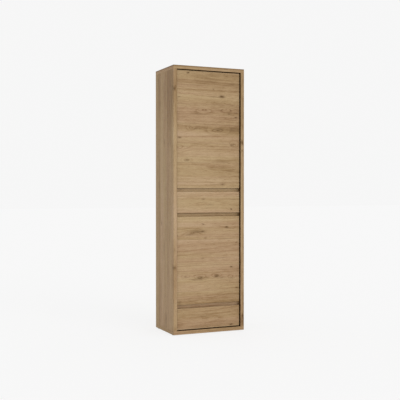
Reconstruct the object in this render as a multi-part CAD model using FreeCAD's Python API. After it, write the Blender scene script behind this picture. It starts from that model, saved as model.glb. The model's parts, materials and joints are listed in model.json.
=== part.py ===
import FreeCAD
import Part

import math
import os

# Tall narrow cabinet: a framed board carcass that holds two inset doors and two inset drawers.
# Lengths are millimetres. X runs to the right, Y to the back, Z up.
# The origin is on the floor, under the middle of the cabinet.

Vector = FreeCAD.Vector
X_AXIS = Vector(1, 0, 0)
Y_AXIS = Vector(0, 1, 0)
Z_AXIS = Vector(0, 0, 1)
LEFT = -1
RIGHT = 1
SIDES = (LEFT, RIGHT)
SIDE_NAMES = {LEFT: "left", RIGHT: "right"}

# Whole cabinet
cabinet_width = 464.0
cabinet_depth = 300.0
cabinet_height = 1600.0
board = 22.0
edge_round = 1.0
overrun = 1.0

# Floor glides under the bottom panel
glide_height = 4.0
glide_radius = 9.0
glide_inset = 36.0
glide_nail_radius = 1.2
glide_nail_length = 14.0

# Fronts and the finger grooves between them
front_thickness = 16.0
front_setback = 11.5
front_gap = 4.5
groove_height = 22.0
drawer_front_height = 126.0
lower_door_height = 525.0
grip_bevel = 7.0
front_round = 1.0

# Dark trim that lines the frame round the fronts
trim_thickness = 0.8
trim_setback = 3.5
trim_depth = 16.0

# Grip rails that close the finger grooves from behind
rail_thickness = 16.0
rail_overlap = 10.0
rail_gap = 2.0
bumper_radius = 4.0
bumper_clearance = 0.3
bumper_inset = 40.0
rail_relief_clearance = 0.7

# Fixed and adjustable shelves
shelf_thickness = 16.0
loose_shelf_side_gap = 1.0
loose_shelf_setback = 12.0
loose_shelf_back_gap = 6.0
upper_shelf_shares = (1 / 3, 2 / 3)
lower_shelf_shares = (1 / 2,)
shelf_pin_y_shares = (0.15, 0.85)
shelf_pin_radius = 2.5
shelf_pin_bite = 8.0
shelf_hole_depth = 10.0
shelf_hole_pitch = 32.0
shelf_hole_steps = (-2, -1, 0, 1, 2)
paddle_reach = 9.0
paddle_width = 9.0
paddle_height = 6.0

# Back sheets, the strip that joins them, and their nails
back_thickness = 3.0
back_clearance = 0.3
rebate_width = 9.0
strip_wall = 1.0
strip_lap = 10.0
strip_gap = 0.2
nail_radius = 0.8
nail_length = 14.0
nail_head_radius = 2.0
nail_head_height = 0.7
nail_count = 5

# Rail that takes the two wall screws
wall_rail_height = 80.0
wall_rail_thickness = 16.0
wall_hole_radius = 3.0
wall_hole_spacing = 300.0

# Dowels and cam fittings of the carcass
fastener_clearance = 0.1
dowel_radius = 4.0
dowel_length = 30.0
dowel_bite = 12.0
dowel_y_shares = (0.36, 0.64)
cam_radius = 7.5
cam_inset = 34.0
cam_past_bolt = 4.5
cam_y_shares = (0.2, 0.8)
cam_slot_width = 1.6
cam_slot_length = 12.0
cam_slot_depth = 2.0
bolt_radius = 3.5
bolt_bite = 11.0
bolt_end_gap = 2.0

# Countersunk screws of the fittings
screw_radius = 1.75
screw_length = 13.0
screw_head_radius = 3.4
screw_head_height = 1.9
recess_width = 0.9
recess_length = 3.8
recess_depth = 1.3
drawer_screw_length = 22.0
frame_screw_length = 50.0

# Concealed hinges
hinge_end_distance = 90.0
hinge_swing_clearance = 0.4
door_opening_angle = 105.0
cup_radius = 17.5
cup_wall = 1.2
cup_floor = 1.0
cup_edge_distance = 3.5
cup_neck_gap = 0.5
flange_thickness = 1.2
flange_rim = 2.0
flange_width = 20.0
flange_end = 7.0
cup_screw_spacing = 52.0
cup_screw_offset = 5.0
arm_width = 12.0
arm_thickness = 2.5
arm_neck_angle = 5.0
arm_swing_clearance = 0.7
arm_body_height = 10.0
arm_body_length = 62.0
eye_radius = 3.2
eye_gap = 0.3
ear_clearance = 0.4
ear_half_width = 3.0
pin_radius = 1.5
pin_bite = 2.0
running_clearance = 0.05
plate_thickness = 3.0
plate_length = 50.0
plate_spine_width = 16.0
plate_cross_width = 18.0
plate_cross_height = 48.0
plate_screw_spacing = 32.0
plate_front_gap = 8.0

# Magnetic catches
catch_distance = 60.0
catch_width = 14.0
catch_depth = 24.0
catch_height = 44.0
catch_gap = 0.3
catch_screw_spacing = 32.0
strike_thickness = 1.2
strike_width = 14.0
strike_height = 40.0
strike_inset = 2.0
strike_screw_spacing = 26.0

# Drawer boxes
runner_space = 12.5
drawer_board = 12.0
drawer_lift = 16.0
drawer_top_gap = 22.0
drawer_back_gap = 24.8
drawer_bottom_thickness = 3.0
drawer_bottom_groove = 6.0
drawer_bottom_lift = 10.0
drawer_bottom_clearance = 0.2
drawer_screw_share = 0.3

# Roller runners
steel = 1.2
runner_front_gap = 5.0
runner_back_gap = 14.8
channel_height = 28.0
channel_gap = 0.8
member_web_height = 22.0
member_flange_gap = 1.0
member_lip_width = 13.0
roller_radius = 9.0
roller_side_gap = 0.8
roller_end_distance = 14.0
roller_lift = 0.5
rolling_gap = 0.05
axle_radius = 2.0
axle_head_radius = 3.2
axle_head_height = 0.8
axle_head_gap = 0.7
runner_screw_shares = (0.28, 0.72)

# Planes that follow from the sizes above
half_width = cabinet_width / 2
inner_half = half_width - board
panel_middle = half_width - board / 2
front_y = -cabinet_depth / 2
rear_y = cabinet_depth / 2
base_z = glide_height
floor_z = base_z + board
ceiling_z = cabinet_height - board
door_face_y = front_y + front_setback
door_rear_y = door_face_y + front_thickness
rail_face_y = door_rear_y + rail_gap
rail_rear_y = rail_face_y + rail_thickness
rebate_depth = back_thickness + strip_wall
back_face_y = rear_y - rebate_depth
shelf_rear_y = back_face_y - strip_wall - strip_gap
front_half = inner_half - front_gap
drawer_half = inner_half - runner_space

# Heights of the fronts, counted up from the bottom panel
lower_drawer_z = floor_z + front_gap
lower_groove_z = lower_drawer_z + drawer_front_height
lower_door_z = lower_groove_z + groove_height
middle_groove_z = lower_door_z + lower_door_height
upper_drawer_z = middle_groove_z + groove_height
upper_groove_z = upper_drawer_z + drawer_front_height
upper_door_z = upper_groove_z + groove_height
upper_door_height = ceiling_z - front_gap - upper_door_z
back_joint_z = upper_drawer_z + drawer_front_height / 2

# Hinge pivot: so far from the door's edge that its corner swings past the trim, that its face is clear of
# the frame when the door is open, and that the arm's eye and neck fit in a cup at its usual distance
pivot_depth = front_thickness / 2
frame_reach = front_gap - trim_thickness
swing_room = frame_reach - hinge_swing_clearance
swing_inset = (pivot_depth ** 2 - swing_room ** 2) / (2 * swing_room)
open_angle = math.radians(door_opening_angle)
open_reach = pivot_depth + hinge_swing_clearance - (front_setback + pivot_depth) * math.cos(open_angle)
open_inset = open_reach / math.sin(open_angle) - frame_reach
neck_angle = math.radians(180 - arm_neck_angle - door_opening_angle)
cup_mouth = front_thickness - pivot_depth + flange_thickness
neck_reach = cup_mouth / math.tan(neck_angle) + arm_thickness / 2 / math.sin(neck_angle) + cup_neck_gap
cup_reach = max(neck_reach, eye_radius + eye_gap)
cup_chord = math.sqrt((cup_radius - cup_wall) ** 2 - (arm_width / 2) ** 2)
cup_inset = cup_edge_distance + cup_radius
pivot_inset = max(swing_inset, open_inset, cup_inset - cup_chord + cup_reach)
pivot_x = front_half - pivot_inset
pivot_y = door_face_y + pivot_depth
door_swing_radius = math.hypot(pivot_inset, pivot_depth)
neck_radius = door_swing_radius + arm_swing_clearance + arm_thickness / 2

# Hinge cup: further from the edge where the arm's neck needs it
cup_depth = front_thickness - (pivot_depth - eye_radius - eye_gap - cup_floor)
cup_inset_low = pivot_inset + neck_radius + arm_thickness / 2 + cup_neck_gap - cup_chord
cup_inset_high = pivot_inset - cup_reach + cup_chord
cup_x = front_half - min(max(cup_inset, cup_inset_low), cup_inset_high)

# Catches, drawer boxes and runners, fitted between the fronts and the back
catch_face_y = door_rear_y + strike_thickness + catch_gap
catch_screw_length = catch_width + screw_length / 2
strike_x = -front_half + strike_inset + strike_width / 2
drawer_side_height = drawer_front_height - drawer_lift - drawer_top_gap
drawer_rear_y = shelf_rear_y - drawer_back_gap
channel_y = (door_rear_y + runner_front_gap, shelf_rear_y - runner_back_gap)
member_y = (door_rear_y + drawer_board, drawer_rear_y)
web_reach = runner_space - steel
channel_width = web_reach - channel_gap
roller_width = web_reach - steel - 2 * roller_side_gap - axle_head_height - axle_head_gap
front_axle_y = channel_y[0] + roller_end_distance
rear_axle_y = member_y[1] - roller_end_distance

parts = {}


# Basic solids

def box(x, y, z):
    """A box between two limits on each axis, given as (low, high) pairs in any order."""
    low = Vector(min(x), min(y), min(z))
    return Part.makeBox(abs(x[1] - x[0]), abs(y[1] - y[0]), abs(z[1] - z[0]), low)


def box_between(corner, opposite):
    """A box between two opposite corners."""
    return box((corner.x, opposite.x), (corner.y, opposite.y), (corner.z, opposite.z))


def rod(radius, start, direction, length):
    """A cylinder that starts at a point and runs along a direction."""
    return Part.makeCylinder(radius, length, start, direction)


def around(middle, size):
    """The (low, high) pair of a size that is centred on a place."""
    return (middle - size / 2, middle + size / 2)


def share_between(low, high, share):
    """The place at a share of the way from low to high."""
    return low + share * (high - low)


def fuse_all(shapes):
    """One solid from several that overlap."""
    return shapes[0].multiFuse(shapes[1:]).removeSplitter()


def cut_all(shape, cutters):
    """The shape without the cutters."""
    if not cutters:
        return shape
    return shape.cut(cutters)


def group(shapes):
    """Several separate solids in one node."""
    return Part.makeCompound(shapes)


def soften_front(shape, plane_y, radius):
    """Rounds the edges that lie in the plane y = plane_y."""
    tolerance = radius / 100

    def in_plane(edge):
        limits = edge.BoundBox
        return abs(limits.YMin - plane_y) < tolerance and abs(limits.YMax - plane_y) < tolerance

    return shape.makeFillet(radius, [edge for edge in shape.Edges if in_plane(edge)])


# Fasteners, each with the hole that takes it

def countersunk(head, direction, length, clearance):
    """A shank and a cone whose flat end lies at a point, with its tip along a direction."""
    shank = rod(screw_radius + clearance, head, direction, length + clearance)
    head_radius = screw_head_radius + clearance
    cone = Part.makeCone(head_radius, screw_radius + clearance, screw_head_height, head, direction)
    return shank.fuse(cone)


def screw(head, direction, length=screw_length):
    """A countersunk screw with a cross recess."""
    slots = [box(around(0, recess_length), around(0, recess_width), (0, recess_depth)),
             box(around(0, recess_width), around(0, recess_length), (0, recess_depth))]
    for slot in slots:
        slot.Placement = FreeCAD.Placement(head, FreeCAD.Rotation(Z_AXIS, direction)).multiply(slot.Placement)
    return cut_all(countersunk(head, direction, length, 0), slots)


def screw_hole(head, direction, length=screw_length):
    """The room for one screw."""
    return countersunk(head, direction, length, fastener_clearance)


def dowel(joint, into, clearance=0):
    """A wooden dowel through a point of a joint, along the direction into the joint's second board."""
    start = joint - into * (dowel_bite + clearance)
    return rod(dowel_radius + clearance, start, into, dowel_length + 2 * clearance)


def cam_bolt(joint, into, clearance=0):
    """The bolt that is screwed into a joint's first board and caught by a cam in the second."""
    start = joint - into * (bolt_bite + clearance)
    length = bolt_bite + cam_inset - bolt_end_gap + 2 * clearance
    return rod(bolt_radius + clearance, start, into, length)


def cam_face(joint, into, sink, thickness):
    """The middle of a cam's outer face, from where the direction sink leads into the second board."""
    return joint + into * cam_inset - sink * (thickness / 2)


def cam_pocket(joint, into, sink, thickness, clearance=0):
    """The round pocket of a cam."""
    depth = thickness / 2 + cam_past_bolt + clearance
    return rod(cam_radius + clearance, cam_face(joint, into, sink, thickness), sink, depth)


def cam_lock(joint, into, sink, thickness):
    """A cam disc with its driver slot and the bore for the bolt's head."""
    face = cam_face(joint, into, sink, thickness)
    half_slot = into * (cam_slot_length / 2) + Y_AXIS * (cam_slot_width / 2)
    slot = box_between(face - half_slot, face + half_slot + sink * cam_slot_depth)
    bore = cam_bolt(joint, into, fastener_clearance)
    return cut_all(cam_pocket(joint, into, sink, thickness), [bore, slot])


def joint_places(y_low, y_high, shares):
    """Where the fittings of one board's end lie along its depth."""
    return [share_between(y_low, y_high, share) for share in shares]


# Frame boards under and over the side panels: lowest z, height of the joint, way into the side panels
frame_boards = {
    "bottom_panel": (base_z, floor_z, Z_AXIS),
    "top_panel": (ceiling_z, ceiling_z, -Z_AXIS),
}
# Fixed shelves between the side panels: lowest z
fixed_shelves = {
    "lower_fixed_shelf": lower_door_z + rail_overlap - shelf_thickness,
    "middle_fixed_shelf": upper_drawer_z + rail_overlap - shelf_thickness,
    "upper_fixed_shelf": upper_door_z + rail_overlap - shelf_thickness,
}
fixed_shelf_y = (rail_rear_y, shelf_rear_y)
# Grip rails: lowest z of the groove in front, and whether a door laps the rail's upper or its lower edge
grip_rails = {
    "lower_grip_rail": (lower_groove_z, "upper"),
    "middle_grip_rail": (middle_groove_z, "lower"),
    "upper_grip_rail": (upper_groove_z, "upper"),
}
rail_y = (rail_face_y + rail_rear_y) / 2
wall_rail_y = (shelf_rear_y - wall_rail_thickness, shelf_rear_y)
wall_rail_z = (ceiling_z - wall_rail_height, ceiling_z)


def frame_screw_places():
    """Head point, direction and length of the screws from under the bottom panel into the side panels."""
    return [(Vector(side * panel_middle, y, base_z), Z_AXIS, frame_screw_length)
            for side in SIDES for y in joint_places(front_y, rear_y, cam_y_shares)]


def board_fittings():
    """Every dowel, cam and bolt of the carcass, and the holes that they need in each board."""
    dowels, cams, bolts = [], [], []
    panels = {side: name + "_side_panel" for side, name in SIDE_NAMES.items()}
    boards = (*panels.values(), *frame_boards, *fixed_shelves, *grip_rails, "wall_fixing_rail")
    holes = {name: [] for name in boards}

    def add_dowel(first, second, joint, into):
        dowels.append(dowel(joint, into))
        for name in (first, second):
            holes[name].append(dowel(joint, into, fastener_clearance))

    def add_cam(first, second, joint, into, sink, thickness):
        bolts.append(cam_bolt(joint, into))
        cams.append(cam_lock(joint, into, sink, thickness))
        for name in (first, second):
            holes[name].append(cam_bolt(joint, into, fastener_clearance))
        holes[second].append(cam_pocket(joint, into, sink, thickness, fastener_clearance))

    for side, panel in panels.items():
        outward = X_AXIS * side
        for name, (_, joint_z, into) in frame_boards.items():
            for y in joint_places(front_y, rear_y, dowel_y_shares):
                add_dowel(name, panel, Vector(side * panel_middle, y, joint_z), into)
        for y in joint_places(front_y, rear_y, cam_y_shares):
            add_cam("top_panel", panel, Vector(side * panel_middle, y, ceiling_z), -Z_AXIS, outward, board)
        for name, low_z in fixed_shelves.items():
            middle_z = low_z + shelf_thickness / 2
            for y in joint_places(*fixed_shelf_y, dowel_y_shares):
                add_dowel(panel, name, Vector(side * inner_half, y, middle_z), -outward)
            for y in joint_places(*fixed_shelf_y, cam_y_shares):
                joint = Vector(side * inner_half, y, middle_z)
                add_cam(panel, name, joint, -outward, Z_AXIS, shelf_thickness)
        for name, (groove_z, _) in grip_rails.items():
            add_dowel(panel, name, Vector(side * inner_half, rail_y, groove_z + groove_height / 2), -outward)
        wall_rail_end = Vector(side * inner_half, sum(wall_rail_y) / 2, sum(wall_rail_z) / 2)
        add_dowel(panel, "wall_fixing_rail", wall_rail_end, -outward)
    return dowels, cams, bolts, holes


# Shelves that lie on pins: name and the height of the underside
def shelf_heights(low_z, high_z, shares):
    """Undersides of the loose shelves that divide a space."""
    return [share_between(low_z, high_z, share) - shelf_thickness / 2 for share in shares]


upper_space = (upper_door_z + rail_overlap, ceiling_z)
lower_space = (lower_door_z + rail_overlap, upper_drawer_z + rail_overlap - shelf_thickness)
upper_heights = shelf_heights(*upper_space, upper_shelf_shares)
lower_heights = shelf_heights(*lower_space, lower_shelf_shares)
loose_shelves = {
    "upper_shelf_low": upper_heights[0],
    "upper_shelf_high": upper_heights[1],
    "lower_shelf": lower_heights[0],
}
loose_shelf_y = (door_rear_y + loose_shelf_setback, shelf_rear_y - loose_shelf_back_gap)


def shelf_pin_places():
    """Side, y and shelf underside of each shelf pin."""
    return [(side, share_between(*loose_shelf_y, share), z)
            for z in loose_shelves.values() for side in SIDES for share in shelf_pin_y_shares]


def shelf_pin(side, y, shelf_z):
    """A spade pin: a round shank in the side panel and a flat paddle under the shelf."""
    pin_z = shelf_z - paddle_height / 2
    shank = rod(shelf_pin_radius, Vector(side * (inner_half + shelf_pin_bite), y, pin_z), X_AXIS * -side,
                shelf_pin_bite + paddle_reach / 2)
    paddle = box((side * inner_half, side * (inner_half - paddle_reach)), around(y, paddle_width),
                 (shelf_z - paddle_height, shelf_z))
    return fuse_all([shank, paddle])


def shelf_holes(side):
    """The drilled rows that let each shelf sit higher or lower."""
    radius = shelf_pin_radius + fastener_clearance
    return [rod(radius, Vector(place_side * inner_half, y, z - paddle_height / 2 + step * shelf_hole_pitch),
                X_AXIS * side, shelf_hole_depth)
            for place_side, y, z in shelf_pin_places() if place_side == side for step in shelf_hole_steps]


# Concealed hinges of the doors, which hang on the right side panel

def hinge_heights(door_z, door_height):
    """Heights of a door's two hinges."""
    return (door_z + hinge_end_distance, door_z + door_height - hinge_end_distance)


upper_hinge_z = hinge_heights(upper_door_z, upper_door_height)
lower_hinge_z = hinge_heights(lower_door_z, lower_door_height)
all_hinge_z = (*lower_hinge_z, *upper_hinge_z)
plate_face_x = inner_half - plate_thickness
plate_middle_y = pivot_y + neck_radius + plate_front_gap + plate_length / 2


def hinge_point(radius, degrees, z):
    """A point at a radius and angle about the hinge pivot."""
    angle = math.radians(degrees)
    return Vector(pivot_x + radius * math.cos(angle), pivot_y + radius * math.sin(angle), z)


def hinge_arm(z):
    """The fixed arm: an eye on the pin, a gooseneck that leaves the cup, and a body on the plate."""
    low_z = z - arm_width / 2
    rise = Z_AXIS * arm_width
    half = arm_thickness / 2
    start, finish = 180 - arm_neck_angle, 90
    middle = (start + finish) / 2
    inner = Part.Arc(*[hinge_point(neck_radius - half, a, low_z) for a in (start, middle, finish)]).toShape()
    outer = Part.Arc(*[hinge_point(neck_radius + half, a, low_z) for a in (finish, middle, start)]).toShape()
    ends = [Part.makeLine(inner.Vertexes[-1].Point, outer.Vertexes[0].Point),
            Part.makeLine(outer.Vertexes[-1].Point, inner.Vertexes[0].Point)]
    bend = Part.Face(Part.Wire([inner, ends[0], outer, ends[1]])).extrude(rise)
    neck = Part.makeBox(neck_radius + half, arm_thickness, arm_width, Vector(0, -half, 0))
    neck.rotate(Vector(0, 0, 0), Z_AXIS, start)
    neck.translate(Vector(pivot_x, pivot_y, low_z))
    reach_y = (pivot_y + neck_radius - half, pivot_y + neck_radius + half)
    reach = box((pivot_x, plate_face_x), reach_y, around(z, arm_width))
    body = box((plate_face_x - arm_body_height, plate_face_x),
               (reach_y[0], reach_y[0] + arm_body_length), around(z, arm_width))
    eye = rod(eye_radius, Vector(pivot_x, pivot_y, low_z), Z_AXIS, arm_width)
    bore = rod(pin_radius + running_clearance, Vector(pivot_x, pivot_y, low_z - overrun), Z_AXIS,
               arm_width + 2 * overrun)
    return cut_all(fuse_all([eye, neck, bend, reach, body]), [bore, screw_hole(*arm_screw_place(z))])


def arm_screw_place(z):
    """Head point, direction and length of the screw that clamps one arm to its plate."""
    head = Vector(plate_face_x - arm_body_height, plate_middle_y, z)
    return (head, X_AXIS, arm_body_height + plate_thickness / 2)


def hinge_plate(z):
    """The cross-shaped mounting plate on the side panel."""
    x = (plate_face_x, inner_half)
    spine = box(x, around(plate_middle_y, plate_length), around(z, plate_spine_width))
    cross = box(x, around(plate_middle_y, plate_cross_width), around(z, plate_cross_height))
    places = [*plate_screw_places(z), arm_screw_place(z)]
    return cut_all(fuse_all([spine, cross]), [screw_hole(*place) for place in places])


def plate_screw_places(z):
    """Head point and direction of the two screws of one plate."""
    return [(Vector(plate_face_x, plate_middle_y, screw_z), X_AXIS)
            for screw_z in around(z, plate_screw_spacing)]


def cup_screw_places(z):
    """Head point and direction of the two screws of one cup."""
    x = cup_x - cup_screw_offset
    return [(Vector(x, door_rear_y + flange_thickness, screw_z), -Y_AXIS)
            for screw_z in around(z, cup_screw_spacing)]


def hinge_pin(z):
    """The pin that the arm's eye turns on, held by the cup's two ears."""
    half = arm_width / 2 + ear_clearance + pin_bite
    return rod(pin_radius, Vector(pivot_x, pivot_y, z - half), Z_AXIS, 2 * half)


def hinge_cup(z):
    """The cup sunk in the door, with its screw flange and the two ears that hold the pin."""
    cup_back = Vector(cup_x, door_rear_y - cup_depth, z)
    flange_top = door_rear_y + flange_thickness
    inner_radius = cup_radius - cup_wall
    shell = rod(cup_radius, cup_back, Y_AXIS, cup_depth + flange_thickness)
    rim = rod(cup_radius + flange_rim, Vector(cup_x, door_rear_y, z), Y_AXIS, flange_thickness)
    wings = box(around(cup_x - cup_screw_offset, flange_width), (door_rear_y, flange_top),
                around(z, cup_screw_spacing + 2 * flange_end))
    hollow_start = cup_back + Y_AXIS * cup_floor
    hollow = rod(inner_radius, hollow_start, Y_AXIS, cup_depth + flange_thickness)
    body = fuse_all([shell, rim, wings]).cut(hollow)
    ears = []
    for side in SIDES:
        ear = box(around(pivot_x, 2 * ear_half_width), (hollow_start.y, pivot_y + ear_half_width),
                  (z + side * (arm_width / 2 + ear_clearance), z + side * cup_radius))
        ears.append(ear.common(rod(cup_radius, cup_back, Y_AXIS, cup_depth)))
    holes = [screw_hole(*place) for place in cup_screw_places(z)]
    return cut_all(fuse_all([body, *ears]), [hinge_pin(z), *holes])


def cup_pocket(z):
    """The round pocket in the door for one cup."""
    depth = cup_depth + fastener_clearance
    start = Vector(cup_x, door_rear_y - depth, z)
    return rod(cup_radius + fastener_clearance, start, Y_AXIS, depth + overrun)


# Magnetic catches on the left side panel and their strike plates on the doors
catch_heights = (lower_door_z + lower_door_height - catch_distance, upper_door_z + catch_distance)


def catch_screw_places(z):
    """Head point and direction of the two screws of one catch."""
    head_x = -inner_half + catch_width
    y = catch_face_y + catch_depth / 2
    return [(Vector(head_x, y, screw_z), -X_AXIS) for screw_z in around(z, catch_screw_spacing)]


def strike_screw_places(z):
    """Head point and direction of the two screws of one strike plate."""
    return [(Vector(strike_x, door_rear_y + strike_thickness, screw_z), -Y_AXIS)
            for screw_z in around(z, strike_screw_spacing)]


def magnet_catch(z):
    """One catch housing."""
    housing = box((-inner_half, -inner_half + catch_width), (catch_face_y, catch_face_y + catch_depth),
                  around(z, catch_height))
    return cut_all(housing, [screw_hole(*place, catch_screw_length) for place in catch_screw_places(z)])


def strike_plate(z):
    """The steel plate on the door that the magnet holds."""
    plate = box(around(strike_x, strike_width), (door_rear_y, door_rear_y + strike_thickness),
                around(z, strike_height))
    return cut_all(plate, [screw_hole(*place) for place in strike_screw_places(z)])


# Roller runners: one channel on each side panel, one member on each drawer side

def from_panel(side, distance):
    """The x at a distance in from a side panel's inner face."""
    return side * (inner_half - distance)


def runner_levels(front_z):
    """Heights of one drawer's runner: under the box, channel, flange, and both axles."""
    lip_z = front_z + drawer_lift - steel
    flange_z = lip_z + member_web_height
    front_axle_z = flange_z - rolling_gap - roller_radius
    channel_z = front_axle_z - roller_radius - roller_lift - steel
    rear_axle_z = channel_z + steel + rolling_gap + roller_radius
    return lip_z, flange_z, channel_z, front_axle_z, rear_axle_z


def runner_screw_places(side, front_z):
    """Head point and direction of the screws of one channel."""
    z = runner_levels(front_z)[2] + channel_height / 2
    head_x = from_panel(side, steel)
    return [(Vector(head_x, share_between(*channel_y, share), z), X_AXIS * side)
            for share in runner_screw_shares]


def axle(side, near, far, y, z):
    """A riveted stub axle with a head, from one distance off the side panel to another."""
    start = Vector(from_panel(side, near), y, z)
    direction = X_AXIS * (-side if far > near else side)
    stub = rod(axle_radius, start, direction, abs(far - near))
    head = rod(axle_head_radius, start + direction * abs(far - near), direction, axle_head_height)
    return stub.fuse(head)


def cabinet_runner(side, front_z):
    """The fixed channel, with the stub axle of its front roller."""
    channel_z, front_axle_z = runner_levels(front_z)[2:4]
    panel_x = from_panel(side, 0)
    web = box((panel_x, from_panel(side, steel)), channel_y, (channel_z, channel_z + channel_height))
    track = box((panel_x, from_panel(side, channel_width)), channel_y, (channel_z, channel_z + steel))
    cover = track.translated(Z_AXIS * (channel_height - steel))
    stub = axle(side, 0, steel + 2 * roller_side_gap + roller_width, front_axle_y, front_axle_z)
    body = fuse_all([web, track, cover, stub])
    return cut_all(body, [screw_hole(*place) for place in runner_screw_places(side, front_z)])


def drawer_runner(side, front_z):
    """The member under a drawer side, with the stub axle of its rear roller."""
    lip_z, flange_z, _, _, rear_axle_z = runner_levels(front_z)
    web_x = from_panel(side, web_reach)
    drawer_x = from_panel(side, runner_space)
    web = box((web_x, drawer_x), member_y, (lip_z, flange_z + steel))
    flange_x = from_panel(side, steel + member_flange_gap)
    flange = box((flange_x, drawer_x), member_y, (flange_z, flange_z + steel))
    lip = box((web_x, from_panel(side, web_reach + member_lip_width)), member_y, (lip_z, lip_z + steel))
    stub = axle(side, web_reach, web_reach - 2 * roller_side_gap - roller_width, rear_axle_y, rear_axle_z)
    return fuse_all([web, flange, lip, stub])


def roller(side, near, y, z):
    """A nylon roller, from a distance off the side panel inwards."""
    start = Vector(from_panel(side, near), y, z)
    wheel = rod(roller_radius, start, X_AXIS * -side, roller_width)
    bore = rod(axle_radius + running_clearance, start, X_AXIS * -side, roller_width)
    return wheel.cut(bore)


# Drawers

def drawer_screw_places(front_z):
    """Head point and direction of the screws that hold one drawer box and its front together."""
    low_z = front_z + drawer_lift
    heights = [low_z + share * drawer_side_height for share in (drawer_screw_share, 1 - drawer_screw_share)]
    inside_half = drawer_half - drawer_board
    places = []
    for side in SIDES:
        for z in heights:
            x = side * inside_half * (1 - drawer_screw_share)
            places.append((Vector(x, door_rear_y + drawer_board, z), -Y_AXIS))
            for y in (door_rear_y + drawer_board / 2, drawer_rear_y - drawer_board / 2):
                places.append((Vector(side * drawer_half, y, z), X_AXIS * -side))
    return places


def drawer(prefix, front_z):
    """All the pieces of one drawer that slide with it."""
    low_z = front_z + drawer_lift
    top_z = low_z + drawer_side_height
    inside_half = drawer_half - drawer_board
    box_front = (door_rear_y, door_rear_y + drawer_board)
    box_back = (drawer_rear_y - drawer_board, drawer_rear_y)
    screws = drawer_screw_places(front_z)
    holes = [screw_hole(*place, drawer_screw_length) for place in screws]
    sheet_z = (low_z + drawer_bottom_lift, low_z + drawer_bottom_lift + drawer_bottom_thickness)
    groove_z = (sheet_z[0] - drawer_bottom_clearance, sheet_z[1] + drawer_bottom_clearance)
    groove_half = inside_half + drawer_bottom_groove
    groove_y = (box_front[1] - drawer_bottom_groove, box_back[1] + overrun)
    groove = box((-groove_half, groove_half), groove_y, groove_z)
    sheet_half = groove_half - drawer_bottom_clearance
    sheet = box((-sheet_half, sheet_half), (groove_y[0] + drawer_bottom_clearance, box_back[1]), sheet_z)
    front = front_panel(front_z, drawer_front_height, bevel_top=True)
    inner = box((-inside_half, inside_half), box_front, (low_z, top_z))
    rear = box((-inside_half, inside_half), box_back, (low_z, top_z))
    side_y = (box_front[0], box_back[1])
    parts[prefix + "_drawer_front"] = cut_all(front, holes)
    parts[prefix + "_drawer_inner_front"] = cut_all(inner, [groove, *holes])
    parts[prefix + "_drawer_back"] = cut_all(rear, [groove, *holes])
    parts[prefix + "_drawer_bottom"] = sheet
    for side in SIDES:
        panel = box((side * inside_half, side * drawer_half), side_y, (low_z, top_z))
        parts[prefix + "_drawer_" + SIDE_NAMES[side] + "_side"] = cut_all(panel, [groove, *holes])
    parts[prefix + "_drawer_screws"] = group([screw(*place, drawer_screw_length) for place in screws])
    parts[prefix + "_drawer_runners"] = group([drawer_runner(side, front_z) for side in SIDES])
    _, _, _, front_axle_z, rear_axle_z = runner_levels(front_z)
    front_near = steel + roller_side_gap
    rear_near = web_reach - roller_side_gap - roller_width
    parts[prefix + "_front_rollers"] = group(
        [roller(side, front_near, front_axle_y, front_axle_z) for side in SIDES])
    parts[prefix + "_rear_rollers"] = group(
        [roller(side, rear_near, rear_axle_y, rear_axle_z) for side in SIDES])


# Fronts

def front_panel(low_z, height, bevel_top=False, bevel_bottom=False):
    """A flush front with softened face edges and a finger bevel behind its grip edge."""
    panel = box((-front_half, front_half), (door_face_y, door_rear_y), (low_z, low_z + height))
    panel = soften_front(panel, door_face_y, front_round)
    if bevel_top:
        panel = panel.cut(bevel_wedge(low_z + height, -1))
    if bevel_bottom:
        panel = panel.cut(bevel_wedge(low_z, 1))
    return panel


def bevel_wedge(edge_z, into):
    """The three-sided bar that cuts the finger bevel from a front's rear edge."""
    corners = [Vector(-half_width, door_rear_y, edge_z),
               Vector(-half_width, door_rear_y - grip_bevel, edge_z),
               Vector(-half_width, door_rear_y, edge_z + into * grip_bevel)]
    face = Part.Face(Part.makePolygon([*corners, corners[0]]))
    return face.extrude(X_AXIS * cabinet_width)


def door(prefix, low_z, height, hinges, catch_z, bevel_top=False, bevel_bottom=False):
    """One door with its hinge cups, pins, strike plate and screws."""
    places = [place for z in hinges for place in cup_screw_places(z)] + strike_screw_places(catch_z)
    holes = [screw_hole(*place) for place in places] + [cup_pocket(z) for z in hinges]
    parts[prefix + "_door_panel"] = cut_all(front_panel(low_z, height, bevel_top, bevel_bottom), holes)
    parts[prefix + "_hinge_cups"] = group([hinge_cup(z) for z in hinges])
    parts[prefix + "_hinge_pins"] = group([hinge_pin(z) for z in hinges])
    parts[prefix + "_strike_plate"] = strike_plate(catch_z)
    parts[prefix + "_door_screws"] = group([screw(*place) for place in places])


# Carcass

def nail_places():
    """Side and height of each nail, spread evenly up the two side edges of each back sheet."""
    sheets = (
        (floor_z + rebate_width, back_joint_z - strip_lap),
        (back_joint_z + strip_lap, ceiling_z - rebate_width),
    )
    places = []
    for low_z, high_z in sheets:
        step = (high_z - low_z) / nail_count
        places += [(side, low_z + step * (i + 1 / 2)) for side in SIDES for i in range(nail_count)]
    return places


def back_nail(side, z, clearance=0):
    """A nail through a back sheet into a side panel's rebate."""
    start = Vector(side * (inner_half + rebate_width / 2), rear_y - strip_wall, z)
    shank = rod(nail_radius + clearance, start, -Y_AXIS, nail_length + clearance)
    head = rod(nail_head_radius, start, Y_AXIS, nail_head_height)
    return shank.fuse(head)


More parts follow.
